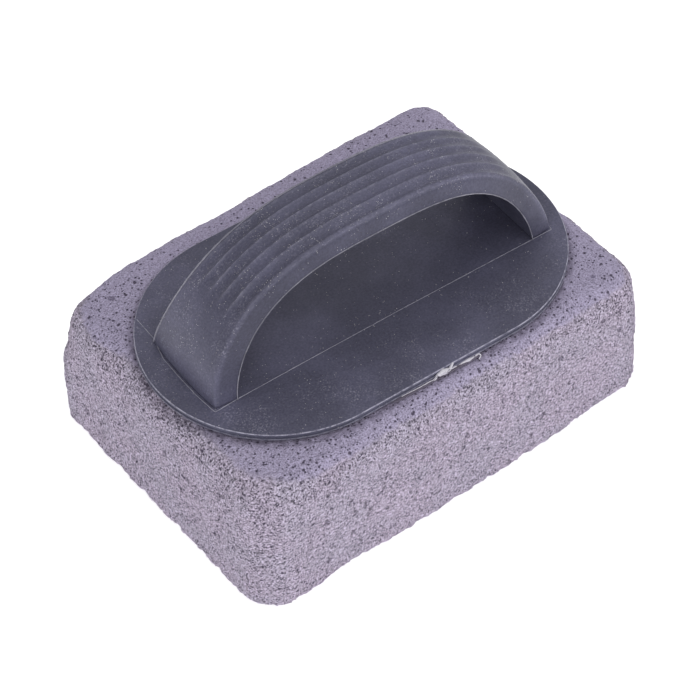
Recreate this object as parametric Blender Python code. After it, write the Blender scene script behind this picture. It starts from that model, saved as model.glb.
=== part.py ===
# Hand scrubbing block: foamed stone with a moulded handle glued on its top face.
# Metres, +Z up. The origin is the middle of the block's base, and +X runs along its long side.
import math
import random

import bmesh
import bpy
from mathutils import Matrix, Vector, noise

MM = 0.001

STONE_COLOUR = (0.31, 0.28, 0.35)
PLASTIC_COLOUR = (0.075, 0.073, 0.095)
GLUE_COLOUR = (0.55, 0.53, 0.56)

# The block of stone: its base is its full size, its walls lean in and its edges are worn round
BLOCK_LENGTH = 150 * MM
BLOCK_WIDTH = 110 * MM
BLOCK_HEIGHT = 48 * MM
WALL_LEAN = 1.5 * MM
CORNER_RADIUS = 11 * MM
TOP_EDGE_RADIUS = 8 * MM
BASE_EDGE_RADIUS = 3 * MM
CORNER_STEPS = 5
LONG_SIDE_STEPS = 15
SHORT_SIDE_STEPS = 11
WALL_STEPS = 6
EDGE_STEPS = 3

# Wear: how deep the walls are hollowed, over what distance, and where edges and corners are knocked off
LUMP_DEPTH = 1.1 * MM
LUMP_SIZE = 17 * MM
LUMP_SPREAD = 0.25
LUMP_SEED = 4
# Each worn place: share of the half length, half width and height, then its radius and depth
WORN_PLACES = (
    ((-1.0, 1.0, 1.0), 26 * MM, 4.2 * MM),
    ((-1.0, -1.0, 1.0), 20 * MM, 3.0 * MM),
    ((1.0, -1.0, 1.0), 20 * MM, 1.2 * MM),
    ((-1.0, -1.0, 0.0), 14 * MM, 1.2 * MM),
    ((-0.55, -1.0, 0.0), 26 * MM, 1.0 * MM),
    ((0.76, -1.0, 0.0), 22 * MM, 1.2 * MM),
)

# Open pores cut into the walls and the top, flatter on the walls
PORE_COUNT = 150
PORE_SEED = 11
PORE_RADIUS = (0.9 * MM, 1.9 * MM)
PORE_SPACING = 2.5 * MM
PORE_FLATTEN = 0.65
PORE_STAND_OFF = 0.15
PORE_FREE_BASE = 7 * MM

# The handle, glued on slightly askew and towards the front
HANDLE_X = -0.4 * MM
HANDLE_Y = -2.9 * MM
HANDLE_YAW = math.radians(-2.7)

# The base plate, an oval with straight sides
PLATE_HALF_LENGTH = 69.8 * MM
PLATE_HALF_WIDTH = 42.3 * MM
PLATE_THICKNESS = 2.2 * MM
PLATE_TOP = BLOCK_HEIGHT + 3.2 * MM
PLATE_RIM_RADIUS = 0.9 * MM
PLATE_RIM_STEPS = 3
PLATE_END_STEPS = 26

# The arched grip, given by its inner and its outer curve above the plate
GRIP_SHIFT = 0.6 * MM
INNER_HALF_SPAN = 53.6 * MM
INNER_HEIGHT = 33.8 * MM
INNER_SIDE_POWER = 3.15
INNER_TOP_POWER = 1.6
OUTER_HALF_SPAN = 61.0 * MM
OUTER_HEIGHT = 39.3 * MM
OUTER_SIDE_POWER = 2.8
OUTER_TOP_POWER = 1.65
GRIP_STEPS = 36
CURVE_SAMPLES = 720
FOOT_DEPTH = 1.0 * MM
SHARP_ANGLE = math.radians(30)

# The grip's widths, at its crown and at its feet, on its inner and its outer side
CROWN_INNER_HALF_WIDTH = 13.75 * MM
CROWN_OUTER_HALF_WIDTH = 11.6 * MM
FOOT_INNER_HALF_WIDTH = 17.0 * MM
FOOT_OUTER_HALF_WIDTH = 16.4 * MM
FLARE_POWER = 2.0
SHOULDER = 0.9 * MM
CROWN_RISE = 0.8 * MM
FLUTE_COUNT = 5
FLUTE_DEPTH = 0.55 * MM
FLUTE_SAMPLES = 4
FLUTE_FADE_START = 0.62
FLUTE_FADE_END = 0.86

# The glue between the plate and the stone, with what was squeezed out at the front
CONTACT_GAP = 0.3 * MM
GLUE_INSET = 2.5 * MM
SQUEEZE_OUT = 0.7 * MM
SQUEEZE_START = -20 * MM
SQUEEZE_END = 19 * MM
SQUEEZE_BLEND = 5 * MM
GLUE_END_STEPS = 20
GLUE_SIDE_STEPS = 16


def clear_scene():
    for item in list(bpy.data.objects):
        bpy.data.objects.remove(item, do_unlink=True)


def smooth_step(value):
    """Goes from 0 to 1 with level ends as value goes from 0 to 1."""
    value = max(0.0, min(1.0, value))
    return value * value * (3.0 - 2.0 * value)


def make_material(name, colour, roughness):
    material = bpy.data.materials.new(name)
    material.use_nodes = True
    shader = material.node_tree.nodes["Principled BSDF"]
    shader.inputs["Base Color"].default_value = (*colour, 1.0)
    shader.inputs["Roughness"].default_value = roughness
    shader.inputs["Metallic"].default_value = 0.0
    material.diffuse_color = (*colour, 1.0)
    return material


def add_object(name, bm, material=None):
    mesh = bpy.data.meshes.new(name)
    bm.to_mesh(mesh)
    bm.free()
    item = bpy.data.objects.new(name, mesh)
    bpy.context.scene.collection.objects.link(item)
    if material:
        mesh.materials.append(material)
    return item


def skin_rings(bm, rings):
    """Joins closed rings of points, each to the next, and caps the first and the last."""
    rows = [[bm.verts.new(point) for point in ring] for ring in rings]
    for lower, upper in zip(rows, rows[1:]):
        for index in range(len(lower)):
            after = (index + 1) % len(lower)
            bm.faces.new((lower[index], lower[after], upper[after], upper[index]))
    bm.faces.new(reversed(rows[0]))
    bm.faces.new(rows[-1])


def arc(centre_x, centre_y, radius, start, end, steps):
    """Points of an arc in the XY plane, its first point left out."""
    points = []
    for step in range(1, steps + 1):
        angle = start + (end - start) * step / steps
        points.append((centre_x + radius * math.cos(angle), centre_y + radius * math.sin(angle)))
    return points


def line(start, end, steps):
    """Points of a straight line, its first point left out."""
    points = []
    for step in range(1, steps + 1):
        share = step / steps
        points.append((start[0] + (end[0] - start[0]) * share, start[1] + (end[1] - start[1]) * share))
    return points


def block_outline(inset):
    """The block's rounded rectangle, counterclockwise, moved inwards by inset."""
    half_x = BLOCK_LENGTH / 2 - CORNER_RADIUS
    half_y = BLOCK_WIDTH / 2 - CORNER_RADIUS
    radius = CORNER_RADIUS - inset
    quarter = math.pi / 2
    corners = ((half_x, -half_y), (half_x, half_y), (-half_x, half_y), (-half_x, -half_y))
    steps = (SHORT_SIDE_STEPS, LONG_SIDE_STEPS, SHORT_SIDE_STEPS, LONG_SIDE_STEPS)
    points = []
    for index, (centre_x, centre_y) in enumerate(corners):
        start = (index - 1) * quarter
        points += arc(centre_x, centre_y, radius, start, start + quarter, CORNER_STEPS)
        next_x, next_y = corners[(index + 1) % 4]
        after = (next_x + radius * math.cos(start + quarter), next_y + radius * math.sin(start + quarter))
        points += line(points[-1], after, steps[index])
    return points


def block_profile():
    """Inset and height of each ring of the block, from the base to the top."""
    rings = []
    for step in range(EDGE_STEPS + 1):
        angle = math.pi / 2 * step / EDGE_STEPS
        rings.append((BASE_EDGE_RADIUS * (1 - math.sin(angle)), BASE_EDGE_RADIUS * (1 - math.cos(angle))))
    wall_top = BLOCK_HEIGHT - TOP_EDGE_RADIUS
    for step in range(1, WALL_STEPS):
        rings.append((0.0, BASE_EDGE_RADIUS + (wall_top - BASE_EDGE_RADIUS) * step / WALL_STEPS))
    for step in range(EDGE_STEPS + 1):
        angle = math.pi / 2 * step / EDGE_STEPS
        rings.append((TOP_EDGE_RADIUS * (1 - math.cos(angle)), wall_top + TOP_EDGE_RADIUS * math.sin(angle)))
    return rings


def inward(point):
    """A unit vector from a point on the block towards its core."""
    core_x = BLOCK_LENGTH / 2 - BLOCK_HEIGHT / 2
    core_y = BLOCK_WIDTH / 2 - BLOCK_HEIGHT / 2
    nearest = Vector((
        max(-core_x, min(core_x, point.x)),
        max(-core_y, min(core_y, point.y)),
        BLOCK_HEIGHT / 2,
    ))
    return (nearest - point).normalized()


def worn(point):
    """Moves a point of the block inwards where the stone is hollowed or knocked off."""
    height_share = smooth_step(min(point.z, BLOCK_HEIGHT - point.z) / BASE_EDGE_RADIUS)
    pattern = noise.noise(point / LUMP_SIZE + Vector((LUMP_SEED, 0.0, 0.0)))
    depth = LUMP_DEPTH * height_share * max(0.0, pattern + LUMP_SPREAD)
    for (share_x, share_y, share_z), radius, wear in WORN_PLACES:
        place = Vector((share_x * BLOCK_LENGTH / 2, share_y * BLOCK_WIDTH / 2, share_z * BLOCK_HEIGHT))
        reach = 1.0 - (point - place).length / radius
        depth += wear * smooth_step(reach)
    moved = point + inward(point) * depth
    moved.z = max(0.0, moved.z) if point.z > 0.0 else 0.0
    return moved


def make_block_body():
    rings = []
    for inset, height in block_profile():
        lean = WALL_LEAN * height / BLOCK_HEIGHT
        rings.append([worn(Vector((x, y, height))) for x, y in block_outline(inset + lean)])
    bm = bmesh.new()
    skin_rings(bm, rings)
    bmesh.ops.recalc_face_normals(bm, faces=bm.faces)
    return bm


def under_plate(x, y, margin):
    """Whether a place on the top lies under the handle's plate or nearer to it than margin."""
    turned = Matrix.Rotation(-HANDLE_YAW, 2) @ Vector((x - HANDLE_X, y - HANDLE_Y))
    straight = PLATE_HALF_LENGTH - PLATE_HALF_WIDTH
    past = max(0.0, abs(turned.x) - straight)
    return math.hypot(past, turned.y) < PLATE_HALF_WIDTH + margin


def pore_place(dice):
    """A random place on the walls or the top, with the direction that faces outwards there."""
    height = dice.uniform(PORE_FREE_BASE, BLOCK_HEIGHT - TOP_EDGE_RADIUS)
    lean = WALL_LEAN * height / BLOCK_HEIGHT
    half_x = BLOCK_LENGTH / 2 - lean
    half_y = BLOCK_WIDTH / 2 - lean
    side = dice.choice("fblrtt")
    across_x = dice.uniform(-half_x + CORNER_RADIUS, half_x - CORNER_RADIUS)
    across_y = dice.uniform(-half_y + CORNER_RADIUS, half_y - CORNER_RADIUS)
    if side == "f":
        return Vector((across_x, -half_y, height)), Vector((0, -1, 0))
    if side == "b":
        return Vector((across_x, half_y, height)), Vector((0, 1, 0))
    if side == "l":
        return Vector((-half_x, across_y, height)), Vector((-1, 0, 0))
    if side == "r":
        return Vector((half_x, across_y, height)), Vector((1, 0, 0))
    return Vector((across_x, across_y, BLOCK_HEIGHT)), Vector((0, 0, 1))


def choose_pores():
    """Places and radii of the pores, none of them touching another or the plate."""
    dice = random.Random(PORE_SEED)
    chosen = []
    while len(chosen) < PORE_COUNT:
        place, facing = pore_place(dice)
        radius = dice.uniform(*PORE_RADIUS)
        margin = radius + PORE_SPACING
        if facing.z and under_plate(place.x, place.y, margin):
            continue
        if any((place - other).length < margin + reach for other, _, reach in chosen):
            continue
        chosen.append((place, facing, radius))
    return chosen


def cut_pores(block):
    bm = bmesh.new()
    for place, facing, radius in choose_pores():
        centre = worn(place) + facing * radius * PORE_STAND_OFF
        squash = 1.0 if facing.z else PORE_FLATTEN
        shape = Matrix.Translation(centre) @ Matrix.Diagonal((radius, radius, radius * squash, 1.0))
        bmesh.ops.create_icosphere(bm, subdivisions=1, radius=1.0, matrix=shape)
    cutter = add_object("pore_cutter", bm)
    cutter.hide_render = True
    cutter.display_type = "WIRE"
    cut = block.modifiers.new("open_pores", "BOOLEAN")
    cut.operation = "DIFFERENCE"
    cut.solver = "EXACT"
    cut.object = cutter


def make_block():
    stone = make_material("foamed_stone", STONE_COLOUR, 0.95)
    block = add_object("pumice_block", make_block_body(), stone)
    cut_pores(block)


def plate_outline(inset, end_steps, side_steps=1):
    """The plate's oval, counterclockwise, moved inwards by inset."""
    straight = PLATE_HALF_LENGTH - PLATE_HALF_WIDTH
    radius = PLATE_HALF_WIDTH - inset
    half = math.pi / 2
    points = arc(straight, 0.0, radius, -half, half, end_steps)
    points += line(points[-1], (-straight, radius), side_steps)
    points += arc(-straight, 0.0, radius, half, 3 * half, end_steps)
    points += line(points[-1], (straight, -radius), side_steps)
    return points


def make_plate_body():
    """The plate in the handle's own frame, its top face at zero height."""
    rings = []
    for inset, height in ((0.0, -PLATE_THICKNESS), (0.0, -PLATE_RIM_RADIUS)):
        rings.append([(x, y, height) for x, y in plate_outline(inset, PLATE_END_STEPS)])
    for step in range(1, PLATE_RIM_STEPS + 1):
        angle = math.pi / 2 * step / PLATE_RIM_STEPS
        inset = PLATE_RIM_RADIUS * (1 - math.cos(angle))
        height = -PLATE_RIM_RADIUS * (1 - math.sin(angle))
        rings.append([(x, y, height) for x, y in plate_outline(inset, PLATE_END_STEPS)])
    bm = bmesh.new()
    skin_rings(bm, rings)
    return bm


def arch_curve(half_span, height, side_power, top_power):
    """Points of an arch from its left foot over its crown to its right foot, evenly spaced."""
    path = []
    for index in range(CURVE_SAMPLES + 1):
        angle = math.pi * index / CURVE_SAMPLES
        reach = half_span * abs(math.cos(angle)) ** (2 / side_power)
        rise = height * math.sin(angle) ** (2 / top_power)
        path.append(Vector((-math.copysign(reach, math.cos(angle)), 0.0, rise)))
    lengths = [0.0]
    for before, after in zip(path, path[1:]):
        lengths.append(lengths[-1] + (after - before).length)
    points = []
    segment = 0
    for step in range(GRIP_STEPS + 1):
        target = lengths[-1] * step / GRIP_STEPS
        while segment < CURVE_SAMPLES - 1 and lengths[segment + 1] < target:
            segment += 1
        span = lengths[segment + 1] - lengths[segment]
        points.append(path[segment].lerp(path[segment + 1], (target - lengths[segment]) / span))
    return points


def grip_section(inner, outer):
    """One closed section of the grip, between a point of its inner and of its outer curve."""
    flare = (1.0 - min(1.0, max(0.0, outer.z) / OUTER_HEIGHT)) ** FLARE_POWER
    low_half = CROWN_INNER_HALF_WIDTH + (FOOT_INNER_HALF_WIDTH - CROWN_INNER_HALF_WIDTH) * flare
    top_half = CROWN_OUTER_HALF_WIDTH + (FOOT_OUTER_HALF_WIDTH - CROWN_OUTER_HALF_WIDTH) * flare
    thickness = (outer - inner).length
    up = (outer - inner).normalized()
    across = Vector((0.0, 1.0, 0.0))
    foot_share = abs(outer.x) / OUTER_HALF_SPAN
    fade = 1.0 - smooth_step((foot_share - FLUTE_FADE_START) / (FLUTE_FADE_END - FLUTE_FADE_START))
    shoulder = SHOULDER / thickness
    section = [(-low_half, 0.0), (0.0, 0.0), (low_half, 0.0)]
    section.append((low_half + (top_half - low_half) * 0.5, 0.5))
    section.append((top_half, 1.0 - shoulder))
    samples = FLUTE_COUNT * FLUTE_SAMPLES
    flat_half = top_half - SHOULDER
    for index in range(samples + 1):
        share = 1.0 - 2.0 * index / samples
        along = (index % FLUTE_SAMPLES) / FLUTE_SAMPLES
        hollow = FLUTE_DEPTH * 4.0 * along * (1.0 - along) * fade
        rise = CROWN_RISE * (1.0 - share * share) - hollow
        section.append((flat_half * share, 1.0 + rise / thickness))
    section.append((-top_half, 1.0 - shoulder))
    section.append((-low_half - (top_half - low_half) * 0.5, 0.5))
    return [inner + across * y + up * thickness * level for y, level in section]


def make_grip_body():
    """The arched grip in the handle's own frame, with its feet sunk into the plate."""
    inner = arch_curve(INNER_HALF_SPAN, INNER_HEIGHT, INNER_SIDE_POWER, INNER_TOP_POWER)
    outer = arch_curve(OUTER_HALF_SPAN, OUTER_HEIGHT, OUTER_SIDE_POWER, OUTER_TOP_POWER)
    sunk = Vector((0.0, 0.0, -FOOT_DEPTH))
    sections = [grip_section(low, high) for low, high in zip(inner, outer)]
    sections.insert(0, [point + sunk for point in sections[0]])
    sections.append([point + sunk for point in sections[-1]])
    shift = Vector((GRIP_SHIFT, 0.0, 0.0))
    bm = bmesh.new()
    skin_rings(bm, [[point + shift for point in section] for section in sections])
    bmesh.ops.recalc_face_normals(bm, faces=bm.faces)
    return bm


def place_on_block(item):
    """Puts a piece that was made in the handle's own frame at its place on the block."""
    item.location = (HANDLE_X, HANDLE_Y, PLATE_TOP)
    item.rotation_euler = (0.0, 0.0, HANDLE_YAW)


def make_handle():
    plastic = make_material("charcoal_plastic", PLASTIC_COLOUR, 0.55)
    handle = add_object("handle", make_plate_body(), plastic)
    grip = add_object("grip_body", make_grip_body(), plastic)
    grip.hide_render = True
    grip.display_type = "WIRE"
    join = handle.modifiers.new("grip", "BOOLEAN")
    join.operation = "UNION"
    join.solver = "EXACT"
    join.object = grip
    place_on_block(handle)
    place_on_block(grip)
    handle.data.shade_smooth()
    handle.data.set_sharp_from_angle(angle=SHARP_ANGLE)


def glue_outset(x, y):
    """How far the glue stands past its own inset outline at a place on it."""
    if y > 0.0:
        return 0.0
    rising = smooth_step((x - SQUEEZE_START) / SQUEEZE_BLEND)
    falling = smooth_step((SQUEEZE_END - x) / SQUEEZE_BLEND)
    return (GLUE_INSET + SQUEEZE_OUT) * rising * falling


def make_glue():
    glue = make_material("set_glue", GLUE_COLOUR, 0.3)
    low = BLOCK_HEIGHT + CONTACT_GAP - PLATE_TOP
    high = -PLATE_THICKNESS - CONTACT_GAP
    outline = []
    for x, y in plate_outline(GLUE_INSET, GLUE_END_STEPS, GLUE_SIDE_STEPS):
        outline.append((x, y - glue_outset(x, y)))
    bm = bmesh.new()
    skin_rings(bm, [[(x, y, height) for x, y in outline] for height in (low, high)])
    layer = add_object("glue_layer", bm, glue)
    place_on_block(layer)


clear_scene()
make_block()
make_handle()
make_glue()
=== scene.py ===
# %% [markdown]
# # A scrubbing block of foamed stone with a moulded handle
#
# The real object is a cut block of foamed, pumice-like stone. A handle moulded from charcoal plastic is glued
# on its top face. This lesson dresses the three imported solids: stone, handle and glue. The frame gives each
# solid's place, so every piece below is made in the same metres and the same axes.

# %% Load the frame
import math
import random

import bmesh
import bpy
from mathutils import Matrix, Vector


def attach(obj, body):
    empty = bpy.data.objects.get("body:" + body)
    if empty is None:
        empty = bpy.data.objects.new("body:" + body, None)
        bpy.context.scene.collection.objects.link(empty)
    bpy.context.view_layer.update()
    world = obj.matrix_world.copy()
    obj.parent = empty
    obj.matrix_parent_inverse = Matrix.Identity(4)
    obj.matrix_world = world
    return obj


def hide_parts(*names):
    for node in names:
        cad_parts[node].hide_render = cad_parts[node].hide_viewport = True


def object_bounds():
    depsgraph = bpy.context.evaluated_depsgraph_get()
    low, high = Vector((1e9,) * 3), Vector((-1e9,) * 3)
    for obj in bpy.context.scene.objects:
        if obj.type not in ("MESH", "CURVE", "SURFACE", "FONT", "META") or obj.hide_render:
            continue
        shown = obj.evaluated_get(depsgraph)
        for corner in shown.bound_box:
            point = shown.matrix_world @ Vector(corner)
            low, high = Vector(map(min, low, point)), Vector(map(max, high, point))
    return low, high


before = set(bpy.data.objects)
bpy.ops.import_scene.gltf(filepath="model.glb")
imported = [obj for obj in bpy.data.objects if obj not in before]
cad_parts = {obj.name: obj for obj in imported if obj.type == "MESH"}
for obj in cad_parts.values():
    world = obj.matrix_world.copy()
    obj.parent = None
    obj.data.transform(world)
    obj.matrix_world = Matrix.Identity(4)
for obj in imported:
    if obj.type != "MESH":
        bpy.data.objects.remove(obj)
cad_low, cad_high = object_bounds()
print("CAD nodes:", sorted(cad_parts))
print("CAD box in mm:", [round(value * 1000, 2) for value in (*cad_low, *cad_high)])

# %% [markdown]
# ## Sizes that the looks share with the solids
#
# The block leans in a little towards its top and its edges are worn round. The handle sits slightly askew.
# These values are the ones that the solids were built from, so the fine shapes land on the same surfaces.

# %% Shared sizes
MM = 0.001
BLOCK_LENGTH = 150 * MM
BLOCK_WIDTH = 110 * MM
BLOCK_HEIGHT = 48 * MM
HANDLE_X = -0.4 * MM
HANDLE_Y = -2.9 * MM
HANDLE_YAW = math.radians(-2.7)
PLATE_HALF_LENGTH = 69.8 * MM
PLATE_HALF_WIDTH = 42.3 * MM
PLATE_THICKNESS = 2.2 * MM
PLATE_TOP = BLOCK_HEIGHT + 3.2 * MM
HANDLE_PLACE = Matrix.Translation((HANDLE_X, HANDLE_Y, PLATE_TOP)) @ Matrix.Rotation(HANDLE_YAW, 4, "Z")
print("plate top is at", round(PLATE_TOP * 1000, 1), "mm")

# %% [markdown]
# ## Helpers for node trees
#
# Geometry trees and material trees share their Math, Vector Math, Map Range, Noise and Voronoi nodes. So a
# few short helpers can write both kinds. Each takes plain numbers or sockets and gives back an output
# socket.

# %% Node helpers
def feed(tree, socket, value):
    """Sets an input socket to a value, or links an output socket to it."""
    if isinstance(value, bpy.types.NodeSocket):
        tree.links.new(value, socket)
    else:
        socket.default_value = value


def set_inputs(tree, node, **inputs):
    """Feeds a node's inputs by socket name. An underscore stands for a space."""
    for name, value in inputs.items():
        feed(tree, node.inputs[name.replace("_", " ")], value)


def add_node(tree, kind, settings=None, **inputs):
    """A node with its settings and, by socket name, its inputs."""
    node = tree.nodes.new(kind)
    for name, value in (settings or {}).items():
        setattr(node, name, value)
    set_inputs(tree, node, **inputs)
    return node


def calc(tree, operation, *values):
    node = add_node(tree, "ShaderNodeMath", {"operation": operation})
    for socket, value in zip(node.inputs, values):
        feed(tree, socket, value)
    return node.outputs[0]


def chain(operation):
    """A helper that joins two or more values, from left to right, by one Math operation."""
    def chained(tree, first, *others):
        for value in others:
            first = calc(tree, operation, first, value)
        return first
    return chained


times = chain("MULTIPLY")
over = chain("DIVIDE")
plus = chain("ADD")
minus = chain("SUBTRACT")
larger = chain("MAXIMUM")
smaller = chain("MINIMUM")


def clamped(tree, value, low, high):
    return smaller(tree, larger(tree, value, low), high)


def vector_calc(tree, operation, *values):
    node = add_node(tree, "ShaderNodeVectorMath", {"operation": operation})
    sockets = (node.inputs[0], node.inputs["Scale"]) if operation == "SCALE" else node.inputs
    for socket, value in zip(sockets, values):
        feed(tree, socket, value)
    wants_number = operation in ("LENGTH", "DISTANCE", "DOT_PRODUCT")
    return node.outputs["Value" if wants_number else "Vector"]


def add_vectors(tree, first, second):
    return vector_calc(tree, "ADD", first, second)


def stretch(tree, vector, factor):
    return vector_calc(tree, "SCALE", vector, factor)


def clamped_vector(tree, vector, low, high):
    return vector_calc(tree, "MINIMUM", vector_calc(tree, "MAXIMUM", vector, low), high)


def split(tree, vector):
    return add_node(tree, "ShaderNodeSeparateXYZ", Vector=vector).outputs


def join(tree, x, y, z):
    return add_node(tree, "ShaderNodeCombineXYZ", X=x, Y=y, Z=z).outputs[0]


def remap(tree, value, low, high, new_low=0.0, new_high=1.0, kind="SMOOTHSTEP"):
    node = add_node(tree, "ShaderNodeMapRange", {"interpolation_type": kind, "clamp": True})
    for socket, number in zip(node.inputs, (value, low, high, new_low, new_high)):
        feed(tree, socket, number)
    return node.outputs[0]


def noise(tree, vector, scale, detail=2.0, roughness=0.5):
    node = add_node(
        tree, "ShaderNodeTexNoise", {"noise_dimensions": "3D"},
        Vector=vector, Scale=scale, Detail=detail, Roughness=roughness,
    )
    return node.outputs[0]


def cells(tree, vector):
    """Voronoi cells: the distance to the nearest cell centre, and a random colour for each cell."""
    settings = {"voronoi_dimensions": "3D", "feature": "F1"}
    node = add_node(tree, "ShaderNodeTexVoronoi", settings, Vector=vector, Scale=1.0, Randomness=1.0)
    return node.outputs["Distance"], node.outputs["Color"]


def mix_numbers(tree, share, first, second):
    node = tree.nodes.new("ShaderNodeMix")
    node.data_type = "FLOAT"
    feed(tree, node.inputs[0], share)
    feed(tree, node.inputs[2], first)
    feed(tree, node.inputs[3], second)
    return node.outputs[0]


def mix_colours(tree, share, first, second, blend="MIX"):
    node = tree.nodes.new("ShaderNodeMix")
    node.data_type = "RGBA"
    node.blend_type = blend
    feed(tree, node.inputs[0], share)
    feed(tree, node.inputs[6], first)
    feed(tree, node.inputs[7], second)
    return node.outputs[2]


# %% Helpers that run a geometry tree
def new_geometry_tree(name, inputs):
    """A geometry tree with its named inputs, given as (name, socket kind, value)."""
    tree = bpy.data.node_groups.new(name, "GeometryNodeTree")
    tree.interface.new_socket("Geometry", in_out="INPUT", socket_type="NodeSocketGeometry")
    for label, kind, _ in inputs:
        tree.interface.new_socket(label, in_out="INPUT", socket_type=kind)
    tree.interface.new_socket("Geometry", in_out="OUTPUT", socket_type="NodeSocketGeometry")
    return tree, tree.nodes.new("NodeGroupInput").outputs, tree.nodes.new("NodeGroupOutput").inputs[0]


def plain_mesh(item, name):
    """The evaluated mesh of an object, as a mesh with no modifiers."""
    bpy.context.view_layer.update()
    graph = bpy.context.evaluated_depsgraph_get()
    mesh = bpy.data.meshes.new_from_object(item.evaluated_get(graph), depsgraph=graph)
    mesh.name = name
    return mesh


def run_geometry_tree(item, tree, inputs):
    """Runs a geometry tree on an object, sets its inputs by identifier and keeps the plain mesh."""
    modifier = item.modifiers.new(tree.name, "NODES")
    modifier.node_group = tree
    sockets = [socket for socket in tree.interface.items_tree if socket.in_out == "INPUT"]
    places = {socket.name: socket.identifier for socket in sockets}
    for label, _, value in inputs:
        modifier[places[label]] = value
    item.update_tag()
    mesh = plain_mesh(item, item.name)
    item.modifiers.clear()
    item.data = mesh
    return item


def new_object(name, data=None):
    """An object in the scene, with an empty mesh where no data is given."""
    item = bpy.data.objects.new(name, data or bpy.data.meshes.new(name))
    bpy.context.scene.collection.objects.link(item)
    return item


def own_position(tree):
    return tree.nodes.new("GeometryNodeInputPosition").outputs[0]


def own_normal(tree):
    return tree.nodes.new("GeometryNodeInputNormal").outputs[0]


def own_index(tree):
    return tree.nodes.new("GeometryNodeInputIndex").outputs[0]


def shape_of(tree, item):
    """The geometry of another object, in that object's own axes."""
    node = add_node(tree, "GeometryNodeObjectInfo", {"transform_space": "ORIGINAL"}, Object=item)
    return node.outputs["Geometry"]


def sample_at(tree, shape, value, index, kind="FLOAT"):
    """The value that one point of a shape has."""
    settings = {"data_type": kind, "domain": "POINT"}
    node = add_node(tree, "GeometryNodeSampleIndex", settings, Geometry=shape, Value=value, Index=index)
    return node.outputs[0]


def named_value(tree, name):
    node = add_node(tree, "GeometryNodeInputNamedAttribute", {"data_type": "FLOAT"}, Name=name)
    return node.outputs["Attribute"]


def store(tree, geometry, name, value):
    settings = {"data_type": "FLOAT", "domain": "POINT"}
    node = add_node(tree, "GeometryNodeStoreNamedAttribute", settings, Geometry=geometry)
    set_inputs(tree, node, Name=name, Value=value)
    return node.outputs[0]


def set_position(tree, geometry, position):
    return add_node(tree, "GeometryNodeSetPosition", Geometry=geometry, Position=position).outputs[0]


def finish_tree(tree, geometry, material, output):
    real = add_node(tree, "GeometryNodeRealizeInstances", Geometry=geometry).outputs[0]
    painted = add_node(tree, "GeometryNodeSetMaterial", Geometry=real, Material=material).outputs[0]
    tree.links.new(painted, output)


def triangles(item):
    return sum(len(face.vertices) - 2 for face in item.data.polygons)


# %% [markdown]
# ## The open pores that are large enough to see one by one
#
# The block is full of gas bubbles, and sawing opens those at its faces. The largest are given as a list of
# points, each with its radius, so that the geometry tree can dent the surface at each of them. The same
# random draws as in the solids keep them at the same places.

# %% Places of the large pores
CORNER_RADIUS = 11 * MM
TOP_EDGE_RADIUS = 8 * MM
BASE_EDGE_RADIUS = 3 * MM
WALL_LEAN = 1.5 * MM
PORE_COUNT = 150
PORE_SEED = 11
PORE_RADIUS = (0.9 * MM, 1.9 * MM)
PORE_SPACING = 2.5 * MM
PORE_FREE_BASE = 7 * MM


def beside_plate(x, y):
    """How far a place lies outside the plate's oval; below zero it is under the plate."""
    turned = Matrix.Rotation(-HANDLE_YAW, 2) @ Vector((x - HANDLE_X, y - HANDLE_Y))
    past = max(0.0, abs(turned.x) - (PLATE_HALF_LENGTH - PLATE_HALF_WIDTH))
    return math.hypot(past, turned.y) - PLATE_HALF_WIDTH


def pore_place(dice):
    height = dice.uniform(PORE_FREE_BASE, BLOCK_HEIGHT - TOP_EDGE_RADIUS)
    lean = WALL_LEAN * height / BLOCK_HEIGHT
    half_x = BLOCK_LENGTH / 2 - lean
    half_y = BLOCK_WIDTH / 2 - lean
    side = dice.choice("fblrtt")
    across_x = dice.uniform(-half_x + CORNER_RADIUS, half_x - CORNER_RADIUS)
    across_y = dice.uniform(-half_y + CORNER_RADIUS, half_y - CORNER_RADIUS)
    places = {
        "f": (across_x, -half_y, height),
        "b": (across_x, half_y, height),
        "l": (-half_x, across_y, height),
        "r": (half_x, across_y, height),
        "t": (across_x, across_y, BLOCK_HEIGHT),
    }
    return Vector(places[side]), side == "t"


def choose_pores():
    dice = random.Random(PORE_SEED)
    chosen = []
    while len(chosen) < PORE_COUNT:
        place, on_top = pore_place(dice)
        radius = dice.uniform(*PORE_RADIUS)
        margin = radius + PORE_SPACING
        if on_top and beside_plate(place.x, place.y) < margin:
            continue
        if any((place - other).length < margin + reach for other, reach in chosen):
            continue
        chosen.append((place, radius))
    return chosen


pores = choose_pores()
pore_points = new_object("pore_points")
pore_points.data.from_pydata([place for place, _ in pores], [], [])
pore_points.data.attributes.new("radius", "FLOAT", "POINT").data.foreach_set("value", [r for _, r in pores])
print(len(pores), "large pores, radius", [round(value * 1000, 1) for value in PORE_RADIUS], "mm")

# %% [markdown]
# ## The block of foamed stone
#
# A fine grid of points is wrapped round the block and pushed inwards wherever stone is missing. The rule
# has five parts: round the edges, wear the corners, roughen the faces, crumble the edges and open the
# pores. The walls are sawn through the foam, so their pores are long and flat. The top is the foam's skin,
# smooth with round pores. Geometry Nodes suit this, because one rule has to shape several hundred thousand
# points.

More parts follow.
